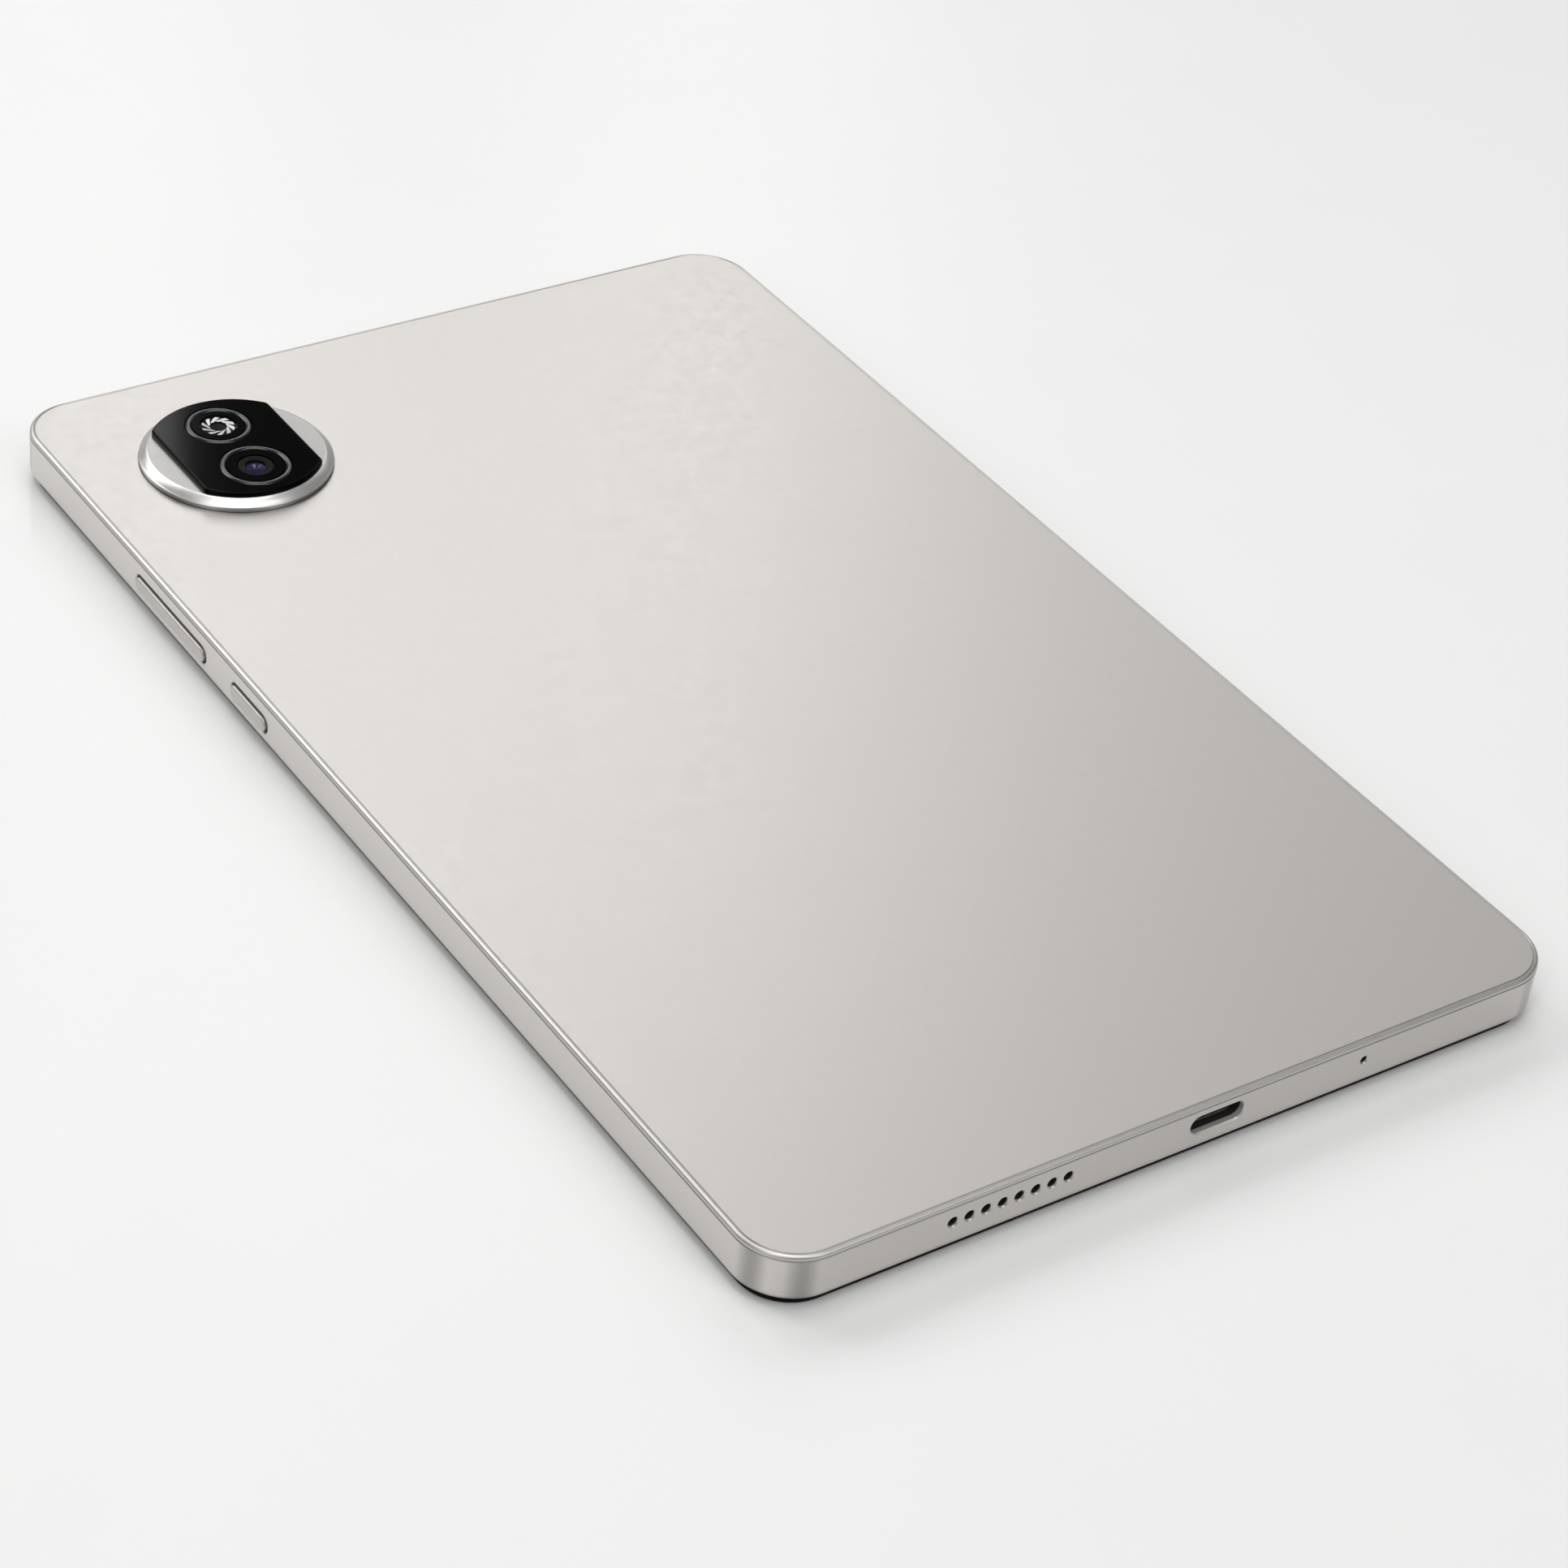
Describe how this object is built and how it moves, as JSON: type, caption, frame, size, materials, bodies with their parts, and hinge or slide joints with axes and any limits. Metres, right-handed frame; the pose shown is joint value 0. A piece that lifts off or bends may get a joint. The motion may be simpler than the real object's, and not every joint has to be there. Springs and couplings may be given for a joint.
{
  "type": "tablet computer",
  "caption": "Slim rectangular tablet computer with a one-piece metal back, a round camera island, sprung side keys, a screen module and its internal boards and cells.",
  "frame": {"origin": "middle of the outer face of the cover glass, which is the face the tablet lies on, screen down", "axes": "+Z from the screen to the back, +Y along the long side towards the camera end, +X along the short side away from the keys"},
  "size_m": [0.1253, 0.206, 0.011],
  "materials": {
    "housing_metal": "fine bead-blasted, warm silver anodised",
    "island_metal": "satin top with a polished bevel, anodised",
    "camera_glass": "black backed glass, polished",
    "lens_glass": "coated lens glass, polished",
    "iris_metal": "bright bladed reflector",
    "lens_trim": "gloss black",
    "cover_glass": "black bordered cover glass, polished",
    "black_plastic": "fine moulded black",
    "panel": "dark display cell, switched off",
    "light_guide": "clear to white acrylic",
    "pressed_metal": "pressed sheet",
    "steel": "stainless, satin",
    "board": "solder-masked board",
    "chip": "moulded package",
    "flex": "polyimide film over copper",
    "cell": "laminated pouch foil",
    "graphite": "graphite film",
    "foam": "closed cell foam and woven acoustic mesh"
  },
  "bodies": {
    "tablet": {"antenna_aux": "black_plastic", "antenna_cable": "black_plastic", "antenna_main": "black_plastic", "backlight_tray": "pressed_metal", "battery_board": "board", "battery_cell_left": "cell", "battery_cell_right": "cell", "battery_lead": "flex", "bottom_speaker": "black_plastic", "bottom_speaker_mesh": "foam", "camera_cushion": "foam", "camera_flex": "flex", "camera_ring": "island_metal", "camera_window": "camera_glass", "charge_chip": "chip", "display_flex": "flex", "display_frame": "black_plastic", "front_camera": "black_plastic", "front_glass": "cover_glass", "heat_spreader": "graphite", "iris_disc": "iris_metal", "iris_ring": "lens_trim", "key_bracket": "steel", "key_flex": "flex", "lcd_panel": "panel", "light_guide": "light_guide", "light_sensor": "chip", "main_board": "board", "main_flex": "flex", "main_lens_glass": "lens_glass", "main_lens_ring": "lens_trim", "microphone": "steel", "mid_plate": "pressed_metal", "power_chip": "chip", "power_shield": "pressed_metal", "power_switch": "steel", "processor": "chip", "processor_shield": "pressed_metal", "rear_camera_barrel": "lens_trim", "rear_camera_body": "black_plastic", "rear_housing": "housing_metal", "screw_1": "steel", "screw_2": "steel", "screw_3": "steel", "screw_4": "steel", "screw_5": "steel", "screw_6": "steel", "sub_board": "board", "top_speaker": "black_plastic", "top_speaker_mesh": "foam", "usb_shell": "steel", "usb_tongue": "black_plastic", "volume_down_switch": "steel", "volume_up_switch": "steel"},
    "volume_key": {"volume_key": "housing_metal"},
    "power_key": {"power_key": "housing_metal"},
    "power_plunger": {"power_plunger": "black_plastic"},
    "volume_up_plunger": {"volume_up_plunger": "black_plastic"},
    "volume_down_plunger": {"volume_down_plunger": "black_plastic"}
  },
  "joints": [
    {"name": "power_press", "type": "slide", "parent": "tablet", "child": "power_key", "axis": [1, 0, 0], "range_m": [0, 0.00025], "stiffness_N_per_m": 3000},
    {"name": "power_plunger_press", "type": "slide", "parent": "tablet", "child": "power_plunger", "axis": [1, 0, 0], "range_m": [0, 0.00025]},
    {"name": "volume_rock", "type": "hinge", "parent": "tablet", "child": "volume_key", "pos_m": [-0.0603, 0.05085, 0.0043], "axis": [0, 0, -1], "range_deg": [-1.4, 1.4], "stiffness_Nm_per_rad": 0.55},
    {"name": "volume_up_plunger_press", "type": "slide", "parent": "tablet", "child": "volume_up_plunger", "axis": [1, 0, 0], "range_m": [-0.00018, 0.00018]},
    {"name": "volume_down_plunger_press", "type": "slide", "parent": "tablet", "child": "volume_down_plunger", "axis": [1, 0, 0], "range_m": [-0.00018, 0.00018]}
  ],
  "couplings": [
    {"joint": "power_plunger_press", "follows": "power_press", "ratio": 1},
    {"joint": "volume_up_plunger_press", "follows": "volume_rock", "m_per_rad": 0.007},
    {"joint": "volume_down_plunger_press", "follows": "volume_rock", "m_per_rad": -0.007}
  ]
}
